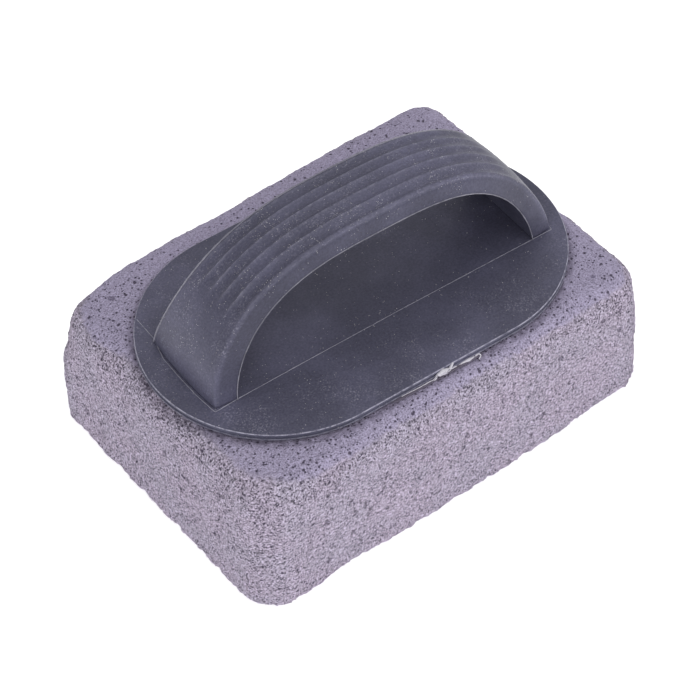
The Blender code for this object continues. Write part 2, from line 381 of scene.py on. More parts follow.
# %% Rules for the stone's shape
# Worn places: the corner or edge as shares of the half sizes and the height, how far the wear reaches, its
# depth
WORN_PLACES = (
    ((-1.0, 1.0, 1.0), 26 * MM, 4.2 * MM),
    ((-1.0, -1.0, 1.0), 20 * MM, 3.0 * MM),
    ((1.0, -1.0, 1.0), 20 * MM, 1.2 * MM),
    ((-1.0, -1.0, 0.0), 14 * MM, 1.2 * MM),
    ((-0.55, -1.0, 0.0), 26 * MM, 1.0 * MM),
    ((0.76, -1.0, 0.0), 22 * MM, 1.2 * MM),
)
CORE_HALF_X = BLOCK_LENGTH / 2 - CORNER_RADIUS
CORE_HALF_Y = BLOCK_WIDTH / 2 - CORNER_RADIUS


def beyond_core(tree, position):
    """A point's flat way past the block's inner rectangle, as a vector and a length, and its height."""
    x, y, z = split(tree, position)
    away_x = minus(tree, x, clamped(tree, x, -CORE_HALF_X, CORE_HALF_X))
    away_y = minus(tree, y, clamped(tree, y, -CORE_HALF_Y, CORE_HALF_Y))
    away = join(tree, away_x, away_y, 0.0)
    return away, vector_calc(tree, "LENGTH", away), z


def round_corners(tree, geometry):
    """Moves the upright corners of a box on to arcs."""
    position = own_position(tree)
    away, length, _ = beyond_core(tree, position)
    x, y, _ = split(tree, vector_calc(tree, "ABSOLUTE", away))
    share = minus(tree, over(tree, larger(tree, x, y), length), 1.0)
    share = times(tree, share, calc(tree, "GREATER_THAN", length, 1e-7))
    return set_position(tree, geometry, add_vectors(tree, position, stretch(tree, away, share)))


def round_edge(tree, geometry, radius, level, up):
    """Moves the edge between the walls and the top (up = 1) or the base (up = -1) on to an arc."""
    position = own_position(tree)
    away, length, z = beyond_core(tree, position)
    out = larger(tree, minus(tree, length, CORNER_RADIUS - radius), 0.0)
    rise = larger(tree, minus(tree, times(tree, z, up), up * (level - up * radius)), 0.0)
    span = larger(tree, vector_calc(tree, "LENGTH", join(tree, out, rise, 0.0)), 1e-9)
    share = minus(tree, over(tree, larger(tree, out, rise), span), 1.0)
    share = times(tree, share, calc(tree, "GREATER_THAN", smaller(tree, out, rise), 1e-9))
    flat = stretch(tree, vector_calc(tree, "NORMALIZE", away), times(tree, out, share))
    lift = join(tree, 0.0, 0.0, times(tree, rise, share, up))
    return set_position(tree, geometry, add_vectors(tree, position, add_vectors(tree, flat, lift)))


def lean_in(tree, geometry):
    x, y, z = split(tree, own_position(tree))
    lean = times(tree, z, -WALL_LEAN / BLOCK_HEIGHT)
    new_x = calc(tree, "MULTIPLY_ADD", times(tree, x, 2 / BLOCK_LENGTH), lean, x)
    new_y = calc(tree, "MULTIPLY_ADD", times(tree, y, 2 / BLOCK_WIDTH), lean, y)
    return set_position(tree, geometry, join(tree, new_x, new_y, z))


def wear_down(tree, geometry, lump_depth, lump_size):
    """Hollows the walls a little and knocks off the worn corners, always towards the block's core."""
    position = own_position(tree)
    core_x = BLOCK_LENGTH / 2 - BLOCK_HEIGHT / 2
    core_y = BLOCK_WIDTH / 2 - BLOCK_HEIGHT / 2
    core_z = BLOCK_HEIGHT / 2
    nearest = clamped_vector(tree, position, (-core_x, -core_y, core_z), (core_x, core_y, core_z))
    inwards = vector_calc(tree, "NORMALIZE", vector_calc(tree, "SUBTRACT", nearest, position))
    z = split(tree, position)[2]
    level = remap(tree, smaller(tree, z, minus(tree, BLOCK_HEIGHT, z)), 0.0, BASE_EDGE_RADIUS)
    lumps = noise(tree, stretch(tree, position, over(tree, 1.0, lump_size)), 1.0, 1.0)
    lumps = larger(tree, calc(tree, "MULTIPLY_ADD", lumps, 2.0, -0.75), 0.0)
    depth = times(tree, lumps, lump_depth, level)
    for (share_x, share_y, share_z), radius, wear in WORN_PLACES:
        place = (share_x * BLOCK_LENGTH / 2, share_y * BLOCK_WIDTH / 2, share_z * BLOCK_HEIGHT)
        reach = remap(tree, vector_calc(tree, "DISTANCE", position, place), radius, 0.0, 0.0, wear)
        depth = plus(tree, depth, reach)
    new_x, new_y, new_z = split(tree, add_vectors(tree, position, stretch(tree, inwards, depth)))
    new_z = times(tree, larger(tree, new_z, 0.0), calc(tree, "GREATER_THAN", z, 1e-7))
    return set_position(tree, geometry, join(tree, new_x, new_y, new_z))


# %% Rules for the stone's pores
SKIN_HEIGHT = 45.8
SKIN_HEIGHT_LEFT = 47.8
BUBBLE_AXIS = tuple(Vector((-0.43, -0.24, 0.87)).normalized())
LISTED_PORE_SIZE = 0.62
LISTED_PORE_DEPTH = 0.8
# Bubbles opened at random: size in mm, flatness on the skin and on the walls, smallest and largest radius
FINE_BUBBLES = (1.7, 1.0, 0.55, 0.14, 0.34)
MIDDLE_BUBBLES = (4.2, 0.75, 0.75, 0.09, 0.20)
CRUMB_SIZE = 5.0
CRUMB_DEPTH = 4.0
CRUMB_REACH = (6 * MM, 14 * MM)


def plate_distance(tree, position):
    """How far outside the plate's oval a point of the top lies, in mm."""
    spin = add_node(tree, "ShaderNodeVectorRotate", {"rotation_type": "Z_AXIS"}, Angle=-HANDLE_YAW)
    feed(tree, spin.inputs["Vector"], vector_calc(tree, "SUBTRACT", position, (HANDLE_X, HANDLE_Y, 0.0)))
    x, y, _ = split(tree, spin.outputs[0])
    past = minus(tree, calc(tree, "ABSOLUTE", x), PLATE_HALF_LENGTH - PLATE_HALF_WIDTH)
    length = vector_calc(tree, "LENGTH", join(tree, larger(tree, past, 0.0), y, 0.0))
    return times(tree, minus(tree, length, PLATE_HALF_WIDTH), 1 / MM)


def dent(tree, distance, radius):
    """Depth of a round pore: a half circle over the distance from its middle."""
    squared = minus(tree, calc(tree, "POWER", radius, 2.0), calc(tree, "POWER", distance, 2.0))
    return calc(tree, "SQRT", larger(tree, squared, 0.0))


def large_pores(tree, points, position, normal):
    """Depth, in mm, of the listed pores. Only the distance along the surface counts."""
    shape = shape_of(tree, points)
    nearest = add_node(tree, "GeometryNodeSampleNearest", {"domain": "POINT"}, Geometry=shape).outputs[0]
    centre = sample_at(tree, shape, own_position(tree), nearest, "FLOAT_VECTOR")
    radius = sample_at(tree, shape, named_value(tree, "radius"), nearest)
    away = vector_calc(tree, "SUBTRACT", position, centre)
    depth = vector_calc(tree, "DOT_PRODUCT", away, normal)
    along = vector_calc(tree, "SUBTRACT", away, stretch(tree, normal, depth))
    reach = times(tree, vector_calc(tree, "LENGTH", along), 1 / MM)
    near = remap(tree, calc(tree, "ABSOLUTE", depth), 4.5 * MM, 3.5 * MM)
    round_dent = dent(tree, reach, times(tree, radius, LISTED_PORE_SIZE / MM))
    return times(tree, round_dent, LISTED_PORE_DEPTH, near)


def in_bubbles(tree, place, size, flat):
    """The place counted in bubbles, size mm across and pressed flat along the foam's tilted axis."""
    counted = stretch(tree, place, over(tree, 1 / MM, size))
    along = vector_calc(tree, "DOT_PRODUCT", counted, BUBBLE_AXIS)
    extra = times(tree, along, minus(tree, over(tree, 1.0, flat), 1.0))
    return add_vectors(tree, counted, stretch(tree, BUBBLE_AXIS, extra))


def skin_limit(tree, position):
    """Height and softness, in mm, of the skin's edge. It lies higher where the left edge is worn."""
    x, y, _ = split(tree, position)
    left = times(tree, remap(tree, x, -50 * MM, -62 * MM), remap(tree, y, 34 * MM, 16 * MM))
    limit = mix_numbers(tree, left, SKIN_HEIGHT, SKIN_HEIGHT_LEFT)
    slow = times(tree, minus(tree, noise(tree, position, 90.0), 0.5), 1.6)
    quick = times(tree, minus(tree, noise(tree, position, 700.0), 0.5), 2.6)
    waver = times(tree, plus(tree, slow, quick), mix_numbers(tree, left, 1.0, 0.25))
    return plus(tree, limit, waver), mix_numbers(tree, left, 0.55, 0.30)


def cell_pores(tree, position, size, flat, share, lowest, highest):
    """Depth, in mm, of bubbles opened at random. A cell is size wide and size times flat high."""
    distance, colour = cells(tree, in_bubbles(tree, position, size, flat))
    dice_a, dice_b, _ = split(tree, colour)
    radius = remap(tree, dice_a, 0.0, 1.0, lowest, highest, "LINEAR")
    opened = calc(tree, "LESS_THAN", dice_b, share)
    return times(tree, dent(tree, distance, radius), size * 0.75, opened)


def at_edges(tree, position):
    """Where the foam crumbles: most at the base's edge and upright corners, less at the top's edge."""
    x, y, z = split(tree, position)
    near, far = CRUMB_REACH
    away_x = remap(tree, calc(tree, "ABSOLUTE", x), BLOCK_LENGTH / 2 - far, BLOCK_LENGTH / 2 - near)
    away_y = remap(tree, calc(tree, "ABSOLUTE", y), BLOCK_WIDTH / 2 - far, BLOCK_WIDTH / 2 - near)
    rim = times(tree, larger(tree, away_x, away_y), remap(tree, z, 37 * MM, 44 * MM, 0.0, 0.6))
    return larger(tree, times(tree, away_x, away_y), remap(tree, z, 9 * MM, 2 * MM), rim)


def ragged_depth(tree, position, wall):
    """Two depths, in mm: what the saw tore out everywhere, and what crumbled away at the edges."""
    torn = minus(tree, noise(tree, in_bubbles(tree, position, 2.0, 0.5), 1.0, 3.0, 0.65), 0.36)
    torn = times(tree, larger(tree, torn, 0.0), mix_numbers(tree, wall, 0.5, 1.1))
    crumbs = minus(tree, noise(tree, in_bubbles(tree, position, CRUMB_SIZE, 0.7), 1.0, 4.0, 0.75), 0.42)
    crumbs = times(tree, larger(tree, crumbs, 0.0), times(tree, at_edges(tree, position), CRUMB_DEPTH))
    return torn, times(tree, crumbs, mix_numbers(tree, wall, 0.6, 1.0))


def open_pores(tree, geometry, points):
    """Roughens the stone and opens its pores, and keeps how deep and of which kind each place is."""
    position = own_position(tree)
    normal = own_normal(tree)
    height = times(tree, split(tree, position)[2], 1 / MM)
    limit, blend = skin_limit(tree, position)
    wall = remap(tree, height, plus(tree, limit, blend), minus(tree, limit, blend))
    beside = plate_distance(tree, position)
    bare = larger(tree, remap(tree, beside, -3.5, -1.5), calc(tree, "LESS_THAN", height, 40.0))
    size, skin_flat, wall_flat, *radii = FINE_BUBBLES
    skin_fine = cell_pores(tree, position, size, skin_flat, 0.30, *radii)
    wall_fine = cell_pores(tree, position, size, wall_flat, 0.55, *radii)
    fine = mix_numbers(tree, wall, skin_fine, wall_fine)
    size, flat, _, *radii = MIDDLE_BUBBLES
    middle = cell_pores(tree, position, size, flat, mix_numbers(tree, wall, 0.12, 0.25), *radii)
    pits = larger(tree, fine, middle, large_pores(tree, points, position, normal))
    torn, crumbs = ragged_depth(tree, position, wall)
    depth = times(tree, plus(tree, pits, torn, crumbs), bare)
    geometry = store(tree, geometry, "wall", wall)
    geometry = store(tree, geometry, "pit", times(tree, pits, bare))
    geometry = store(tree, geometry, "beside", beside)
    moved = add_vectors(tree, position, stretch(tree, normal, times(tree, depth, -MM)))
    highest = (cad_high.x, cad_high.y, BLOCK_HEIGHT)
    return set_position(tree, geometry, clamped_vector(tree, moved, tuple(cad_low), highest))


# %% [markdown]
# ## How foamed stone looks
#
# Up close each wall is a net of thin pale ribs round small dark hollows, some only a quarter of a
# millimetre wide. Those are too small for the mesh, so a Voronoi pattern dents them and paints shade into
# them. The grain's tone is partly the foam's own mottling and partly painted shade in its hollows and
# painted highlight on its ribs. The mesh's deeper pits and the stone just beside the plate's rim get painted
# shade as well. The skin of the top is darker and more purple, and rubbing has opened more of its pores at
# its front left. The walls are paler and pinker, in faint patches.

# %% Material of the stone
def new_material(name):
    material = bpy.data.materials.new(name)
    material.use_nodes = True
    tree = material.node_tree
    tree.nodes.clear()
    output = tree.nodes.new("ShaderNodeOutputMaterial")
    shader = tree.nodes.new("ShaderNodeBsdfPrincipled")
    tree.links.new(shader.outputs[0], output.inputs[0])
    return material, tree, shader


def surface_value(tree, name):
    return add_node(tree, "ShaderNodeAttribute", {"attribute_name": name}).outputs["Fac"]


def object_place(tree):
    return tree.nodes.new("ShaderNodeTexCoord").outputs["Object"]


def bump(tree, height, strength, distance, below=None):
    node = add_node(tree, "ShaderNodeBump", Height=height, Strength=strength, Distance=distance)
    if below is not None:
        tree.links.new(below, node.inputs["Normal"])
    return node.outputs[0]


WALL_PINK = (0.403, 0.350, 0.448, 1.0)
WALL_GREY = (0.389, 0.348, 0.442, 1.0)
SKIN_PURPLE = (0.393, 0.352, 0.494, 1.0)
# Painted shade: the colour that the stone's pores and pits, and the stone beside the plate's rim, are
# darkened towards.
HOLLOW_SHADE = (0.080, 0.066, 0.105, 1.0)
# Grain of the foam: size in mm and flatness
SKIN_GRAIN = (0.50, 1.0)
WALL_GRAIN = (0.64, 0.46)
GRAIN_RANGE = (0.25, 0.68)
# Small open bubbles: size of a cell in mm, flatness and widest radius in cells
SKIN_SMALL = (1.05, 1.0, 0.36)
WALL_SMALL = (0.82, 0.54, 0.42)
SKIN_WIDE = (2.3, 1.0, 0.23)
WALL_WIDE = (2.3, 0.60, 0.23)
HOLE_SHADE = 0.95


def holes(tree, place, kind, share):
    """Small open bubbles: 1 inside, 0 outside. A cell holds a bubble with a chance of share."""
    size, flat, widest = kind
    distance, dice = cells(tree, in_bubbles(tree, place, size, flat))
    dice_a, dice_b, _ = split(tree, dice)
    radius = mix_numbers(tree, calc(tree, "POWER", dice_a, 1.5), 0.14, widest)
    hole = remap(tree, minus(tree, distance, radius), 0.08, -0.08)
    return times(tree, hole, calc(tree, "LESS_THAN", dice_b, share))


def shaded(tree, colour, tone):
    """A colour made lighter or darker by a number."""
    return mix_colours(tree, 1.0, colour, join(tree, tone, tone, tone), "MULTIPLY")


def stone_material():
    material, tree, shader = new_material("foamed_stone_look")
    place = object_place(tree)
    wall = surface_value(tree, "wall")
    patches = remap(tree, noise(tree, place, 70.0), 0.38, 0.62)
    colour = mix_colours(tree, wall, SKIN_PURPLE, mix_colours(tree, patches, WALL_PINK, WALL_GREY))
    skin_grain = noise(tree, in_bubbles(tree, place, *SKIN_GRAIN), 1.0, 1.0, 0.55)
    wall_grain = noise(tree, in_bubbles(tree, place, *WALL_GRAIN), 1.0, 1.0, 0.55)
    grain = mix_numbers(tree, wall, skin_grain, wall_grain)
    x, y, _ = split(tree, place)
    rubbed = remap(tree, calc(tree, "MULTIPLY_ADD", x, 0.8, y), 25 * MM, -25 * MM)
    skin_low = mix_numbers(tree, rubbed, 0.66, 0.50)
    skin_high = mix_numbers(tree, rubbed, 1.26, 1.38)
    # The grain's tone is partly the foam's own mottling and partly painted shade in its hollows and painted
    # highlight on its ribs, since the same noise is the bump's height.
    skin_tone_and_shade = remap(tree, grain, *GRAIN_RANGE, skin_low, skin_high, "LINEAR")
    wall_tone_and_shade = remap(tree, grain, *GRAIN_RANGE, 0.16, 1.76, "LINEAR")
    colour = shaded(tree, colour, mix_numbers(tree, wall, skin_tone_and_shade, wall_tone_and_shade))
    skin_small = holes(tree, place, SKIN_SMALL, mix_numbers(tree, rubbed, 0.36, 0.72))
    small = mix_numbers(tree, wall, skin_small, holes(tree, place, WALL_SMALL, 0.95))
    skin_wide = holes(tree, place, SKIN_WIDE, 0.50)
    wide = mix_numbers(tree, wall, skin_wide, holes(tree, place, WALL_WIDE, 0.45))
    # Painted shade: the small open bubbles and the mesh's deeper pits are darkened towards the hollow colour.
    hole = larger(tree, times(tree, small, HOLE_SHADE), times(tree, wide, HOLE_SHADE))
    deep = remap(tree, surface_value(tree, "pit"), 0.12, 0.6)
    colour = mix_colours(tree, larger(tree, hole, times(tree, deep, 0.50)), colour, HOLLOW_SHADE)
    # Painted shade on the stone just beside the plate's rim, where the plate overhangs, broken into flecks.
    plate_rim_shade = remap(tree, surface_value(tree, "beside"), 3.0, 0.2, 0.0, 0.6)
    flecks = remap(tree, noise(tree, place, 500.0, 3.0, 0.7), 0.35, 0.6)
    colour = mix_colours(tree, times(tree, plate_rim_shade, flecks), colour, HOLLOW_SHADE)
    relief = bump(tree, minus(tree, grain, larger(tree, small, wide)), 0.90, 0.45 * MM)
    set_inputs(tree, shader, Base_Color=colour, Roughness=0.95, Specular_IOR_Level=0.25, Normal=relief)
    return material


stone_look = stone_material()
print("stone material has", len(stone_look.node_tree.nodes), "nodes")

# %% Build the stone
STONE_SPACING = 0.42 * MM
STONE_TRIANGLES = 190000
stone_inputs = (
    ("Spacing", "NodeSocketFloat", STONE_SPACING),
    ("Lump Depth", "NodeSocketFloat", 1.1 * MM),
    ("Lump Size", "NodeSocketFloat", 17 * MM),
    ("Pore Points", "NodeSocketObject", pore_points),
    ("Material", "NodeSocketMaterial", stone_look),
)
tree, given, result = new_geometry_tree("foamed_stone_shape", stone_inputs)
block_size = (BLOCK_LENGTH, BLOCK_WIDTH, BLOCK_HEIGHT)
counts = [calc(tree, "ROUND", over(tree, size, given["Spacing"])) for size in block_size]
box = add_node(tree, "GeometryNodeMeshCube", Size=block_size)
set_inputs(tree, box, Vertices_X=counts[0], Vertices_Y=counts[1], Vertices_Z=counts[2])
raised = (0.0, 0.0, BLOCK_HEIGHT / 2)
lifted = add_node(tree, "GeometryNodeTransform", Geometry=box.outputs["Mesh"], Translation=raised)
shape = round_corners(tree, lifted.outputs[0])
shape = round_edge(tree, shape, TOP_EDGE_RADIUS, BLOCK_HEIGHT, 1)
shape = round_edge(tree, shape, BASE_EDGE_RADIUS, 0.0, -1)
shape = lean_in(tree, shape)
shape = wear_down(tree, shape, given["Lump Depth"], given["Lump Size"])
shape = open_pores(tree, shape, given["Pore Points"])
finish_tree(tree, shape, given["Material"], result)
stone = run_geometry_tree(new_object("stone"), tree, stone_inputs)
print("stone before thinning:", triangles(stone), "triangles")


def thin_out(item, most):
    """Collapses the flattest places until the mesh has at most so many triangles."""
    count = triangles(item)
    if count > most:
        modifier = item.modifiers.new("thin", "DECIMATE")
        modifier.ratio = most / count
        mesh = plain_mesh(item, item.name)
        item.modifiers.clear()
        item.data = mesh


def keep_inside(item, low, high):
    """Brings back the vertices that stand a hair past a box."""
    for vertex in item.data.vertices:
        vertex.co = [min(max(value, least), most) for value, least, most in zip(vertex.co, low, high)]


thin_out(stone, STONE_TRIANGLES)
keep_inside(stone, cad_low, (cad_high.x, cad_high.y, BLOCK_HEIGHT))
stone.data.shade_smooth()
bpy.data.objects.remove(pore_points)
print("stone:", triangles(stone), "triangles,", [a.name for a in stone.data.attributes])
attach(stone, "root")
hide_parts("pumice_block")

# %% [markdown]
# ## The plastic of the handle
#
# It is a charcoal, slightly blue plastic with a satin finish from the mould. A film of pale stone dust lies
# on it, most of all on the grip's outer side. Painted highlights run along the ridges between the flutes and
# along the plate's rim. Its faces off the outer side are painted darker as shade, and the outer side a
# little lighter. One material serves the whole moulding: values kept on the mesh tell it where the outer
# side and the ridges are.

# %% Material of the handle
PLASTIC_DARK = (0.064, 0.063, 0.098, 1.0)
PLASTIC_PALE = (0.105, 0.103, 0.162, 1.0)
# Pale colour that the dust film and the painted highlights of the rim and the ridges are mixed towards.
DUST_AND_HIGHLIGHT_PALE = (0.44, 0.43, 0.53, 1.0)
SHEEN_TINT = (0.86, 0.85, 1.00, 1.0)


def rim_highlight(tree, place):
    """Painted highlight along the plate's rim: the corner of its top most of all, its lower lip less."""
    beside = plate_distance(tree, place)
    level = times(tree, minus(tree, split(tree, place)[2], PLATE_TOP), 1 / MM)
    top = times(tree, remap(tree, level, -0.34, -0.22), remap(tree, beside, -0.36, -0.24))
    lip = times(tree, remap(tree, level, -1.70, -1.85), remap(tree, beside, -0.35, -0.10))
    patches = remap(tree, noise(tree, place, 700.0, 4.0, 0.8), 0.36, 0.60, 0.12, 1.0)
    return times(tree, larger(tree, top, times(tree, lip, 0.4)), patches)


def above_plate(tree, place, least):
    """A share that rises from least on the plate to 1 on the grip."""
    return remap(tree, split(tree, place)[2], PLATE_TOP + 1 * MM, PLATE_TOP + 8 * MM, least, 1.0)


def plastic_material(name, dark, pale):
    material, tree, shader = new_material(name)
    place = object_place(tree)
    outside = surface_value(tree, "outside")
    cloud = remap(tree, noise(tree, place, 28.0, 3.0, 0.6), 0.35, 0.7)
    speckle = remap(tree, noise(tree, place, 1500.0, 2.0, 0.6), 0.3, 0.7, 0.80, 1.20, "LINEAR")
    # Painted shade and light: faces off the grip's outer side are darker, a little on the plate and more up
    # the grip's sides and underside, and the outer side is a little lighter.
    painted_inner_shade = mix_numbers(tree, above_plate(tree, place, 0.0), 0.95, 0.78)
    tone = times(tree, speckle, mix_numbers(tree, outside, painted_inner_shade, 1.06))
    colour = shaded(tree, mix_colours(tree, cloud, dark, pale), tone)
    smudge = remap(tree, noise(tree, place, 90.0, 4.0, 0.75), 0.44, 0.70, 0.15, 1.0)
    powder = remap(tree, noise(tree, place, 1900.0), 0.48, 0.72, 0.0, 0.42)
    film = times(tree, smudge, powder, mix_numbers(tree, outside, 0.12, 1.0))
    # Painted highlight: pale lines along the ridges between the flutes, in patches.
    ridge_highlights = remap(tree, noise(tree, place, 600.0, 4.0, 0.8), 0.38, 0.66, 0.02, 0.30)
    ridge_highlights = times(tree, surface_value(tree, "ridge"), ridge_highlights)
    # Stone dust film, with the painted highlights of the rim and the ridges laid over it.
    dust = larger(tree, film, times(tree, rim_highlight(tree, place), 0.95), ridge_highlights)
    rough = remap(tree, noise(tree, place, 140.0, 4.0, 0.7), 0.3, 0.7, 0.38, 0.54, "LINEAR")
    wave = bump(tree, noise(tree, place, 55.0, 1.0, 0.4), 0.35, 0.5 * MM)
    relief = bump(tree, noise(tree, place, 1900.0), 0.25, 0.05 * MM, wave)
    colour = mix_colours(tree, dust, colour, DUST_AND_HIGHLIGHT_PALE)
    set_inputs(tree, shader, Base_Color=colour, Roughness=rough, Specular_Tint=SHEEN_TINT, Normal=relief)
    return material


plastic_look = plastic_material("charcoal_plastic_look", PLASTIC_DARK, PLASTIC_PALE)
print("plastic material has", len(plastic_look.node_tree.nodes), "nodes")

# %% [markdown]
# ## The arched grip
#
# The grip is a strap that rises from the plate, arches over the fingers and comes down again. It follows two
# curves, the inner side and the outer side of the arch. A geometry tree lays a grid between them: one way
# runs along the arch, the other way runs round the strap's section. Five shallow flutes run along the outside
# between crisp ridges, and fade out before the feet.

# %% The grip's curves and section
GRIP_SHIFT = 0.6 * MM
INNER_CURVE = (53.6 * MM, 33.8 * MM, 3.15, 1.6)
OUTER_CURVE = (61.0 * MM, 39.3 * MM, 2.8, 1.65)
OUTER_HEIGHT = OUTER_CURVE[1]
OUTER_HALF_SPAN = OUTER_CURVE[0]
CURVE_SAMPLES = 720
FOOT_DEPTH = 1.0 * MM
CROWN_INNER_HALF_WIDTH = 13.75 * MM
CROWN_OUTER_HALF_WIDTH = 11.6 * MM
FOOT_INNER_HALF_WIDTH = 17.0 * MM
FOOT_OUTER_HALF_WIDTH = 16.4 * MM
SHOULDER = 0.9 * MM
LOWER_EDGE_RADIUS = 0.4 * MM
CROWN_RISE = 0.8 * MM
FLUTE_COUNT = 5
FLUTE_DEPTH = 0.85 * MM
FLUTE_SAMPLES = 12
FLUTE_FADE = (0.73, 0.83)
FILLET = 0.8 * MM
GRIP_SECTIONS = 240


def curve_object(name, paths):
    """Open paths as one curve object. Each point is x, y, z and a radius."""
    curve = bpy.data.curves.new(name, "CURVE")
    curve.dimensions = "3D"
    for path in paths:
        spline = curve.splines.new("POLY")
        spline.points.add(len(path) - 1)
        for point, (x, y, z, radius) in zip(spline.points, path):
            point.co = (x, y, z, 1.0)
            point.radius = radius
    return new_object(name, curve)


def arch_path(half_span, height, side_power, top_power):
    """One side of the arch, from its left foot over its crown to its right foot."""
    path = []
    for index in range(CURVE_SAMPLES + 1):
        angle = math.pi * index / CURVE_SAMPLES
        reach = half_span * abs(math.cos(angle)) ** (2 / side_power)
        rise = height * math.sin(angle) ** (2 / top_power) if 0 < index < CURVE_SAMPLES else 0.0
        path.append((-math.copysign(reach, math.cos(angle)), 0.0, rise, 1.0))
    return path


def section_points():
    """The strap's section: for each point its side, level, offset across, offset outwards and flute depth."""
    points = [(share, 0.0, 0.0, 0.0, 0.0) for share in [-0.97 + 1.94 * i / 8 for i in range(9)]]
    for step in range(1, 5):
        angle = -math.pi / 2 + math.pi / 2 * step / 4
        reach = LOWER_EDGE_RADIUS
        points.append((1.0, 0.0, reach * (math.cos(angle) - 1), reach * (1 + math.sin(angle)), 0.0))
    points += [(1.0, level, 0.0, 0.0, 0.0) for level in (0.2, 0.4, 0.6, 0.75)]
    for step in range(6):
        angle = math.pi / 2 * step / 5
        points.append((1.0, 1.0, SHOULDER * (math.cos(angle) - 1), SHOULDER * (math.sin(angle) - 1), 0.0))
    count = FLUTE_COUNT * FLUTE_SAMPLES
    for index in range(1, count):
        share = 1.0 - 2.0 * index / count
        along = (index % FLUTE_SAMPLES) / FLUTE_SAMPLES
        points.append((share, 1.0, -share * SHOULDER, 0.0, 4 * along * (1 - along)))
    mirrored = [(-s, level, -across, out, flute) for s, level, across, out, flute in points[9:23]]
    return points + mirrored[::-1]


section = section_points()
section_object = new_object("grip_section")
section_object.data.from_pydata([(side, level, 0.0) for side, level, *_ in section], [], [])
SECTION_LABELS = ("side", "level", "across", "out", "flute")
for label, values in zip(SECTION_LABELS, zip(*section)):
    section_object.data.attributes.new(label, "FLOAT", "POINT").data.foreach_set("value", values)
inner_arch = curve_object("inner_arch", [arch_path(*INNER_CURVE)])
outer_arch = curve_object("outer_arch", [arch_path(*OUTER_CURVE)])
print("the strap's section has", len(section), "points")

# %% Build the grip
grip_inputs = (
    ("Inner Arch", "NodeSocketObject", inner_arch),
    ("Outer Arch", "NodeSocketObject", outer_arch),
    ("Section", "NodeSocketObject", section_object),
    ("Sections", "NodeSocketInt", GRIP_SECTIONS),
    ("Flute Depth", "NodeSocketFloat", FLUTE_DEPTH),
    ("Fillet", "NodeSocketFloat", FILLET),
    ("Material", "NodeSocketMaterial", plastic_look),
)


def ease(tree, along):
    """Moves samples towards the feet, where the arch bends most."""
    swing = calc(tree, "SINE", times(tree, along, 2 * math.pi))
    return minus(tree, along, times(tree, swing, 0.115))


def arch_point(tree, arch, along):
    settings = {"mode": "FACTOR", "use_all_curves": True}
    sample = add_node(tree, "GeometryNodeSampleCurve", settings, Curves=shape_of(tree, arch), Factor=along)
    return sample.outputs["Position"]


def flute_fade(tree, x):
    """1 where the flutes are full, 0 near the feet, where they have run out."""
    foot_share = over(tree, calc(tree, "ABSOLUTE", x), OUTER_HALF_SPAN)
    return remap(tree, foot_share, *FLUTE_FADE, 1.0, 0.0)


def strap_point(tree, given, along, side, level, across, out, dip):
    """A point of the strap: where along the arch, which side, and how far through its thickness."""
    low_point = arch_point(tree, given["Inner Arch"], along)
    high_point = arch_point(tree, given["Outer Arch"], along)
    through = vector_calc(tree, "SUBTRACT", high_point, low_point)
    high_x, _, high_z = split(tree, high_point)
    flare = minus(tree, 1.0, smaller(tree, over(tree, high_z, OUTER_HEIGHT), 1.0))
    flare = calc(tree, "POWER", flare, 2.0)
    low_half = mix_numbers(tree, flare, CROWN_INNER_HALF_WIDTH, FOOT_INNER_HALF_WIDTH)
    top_half = mix_numbers(tree, flare, CROWN_OUTER_HALF_WIDTH, FOOT_OUTER_HALF_WIDTH)
    width_place = calc(tree, "MULTIPLY_ADD", side, mix_numbers(tree, level, low_half, top_half), across)
    crown = times(tree, minus(tree, 1.0, calc(tree, "POWER", side, 2.0)), CROWN_RISE)
    crown = times(tree, crown, calc(tree, "GREATER_THAN", level, 0.99))
    raised = minus(tree, crown, times(tree, dip, flute_fade(tree, high_x)))
    thickness = vector_calc(tree, "LENGTH", through)
    lift = calc(tree, "MULTIPLY_ADD", level, thickness, plus(tree, out, raised))
    lifted = stretch(tree, vector_calc(tree, "NORMALIZE", through), lift)
    return add_vectors(tree, add_vectors(tree, low_point, lifted), join(tree, GRIP_SHIFT, width_place, 0.0))


tree, given, result = new_geometry_tree("arched_grip", grip_inputs)
ROW_LENGTH = len(section) + 1
grid = add_node(tree, "GeometryNodeMeshGrid", Vertices_X=given["Sections"], Vertices_Y=ROW_LENGTH)
index = own_index(tree)
row = calc(tree, "FLOOR", over(tree, plus(tree, index, 0.5), ROW_LENGTH))
place_in_section = minus(tree, index, times(tree, row, ROW_LENGTH))
place_in_section = calc(tree, "MODULO", plus(tree, place_in_section, 0.25), len(section))
place_in_section = calc(tree, "FLOOR", place_in_section)
along = over(tree, minus(tree, row, 1.0), minus(tree, given["Sections"], 3.0))
sunk = plus(tree, calc(tree, "LESS_THAN", along, -1e-4), calc(tree, "GREATER_THAN", along, 1.0001))
along = clamped(tree, along, 0.0, 1.0)
section_shape = shape_of(tree, given["Section"])
side, level, across, out, flute = [
    sample_at(tree, section_shape, named_value(tree, label), place_in_section) for label in SECTION_LABELS
]
dip = times(tree, flute, given["Flute Depth"])
point = strap_point(tree, given, ease(tree, along), side, level, across, out, dip)
point = add_vectors(tree, point, join(tree, 0.0, 0.0, times(tree, sunk, -FOOT_DEPTH)))
shape = set_position(tree, grid.outputs["Mesh"], point)

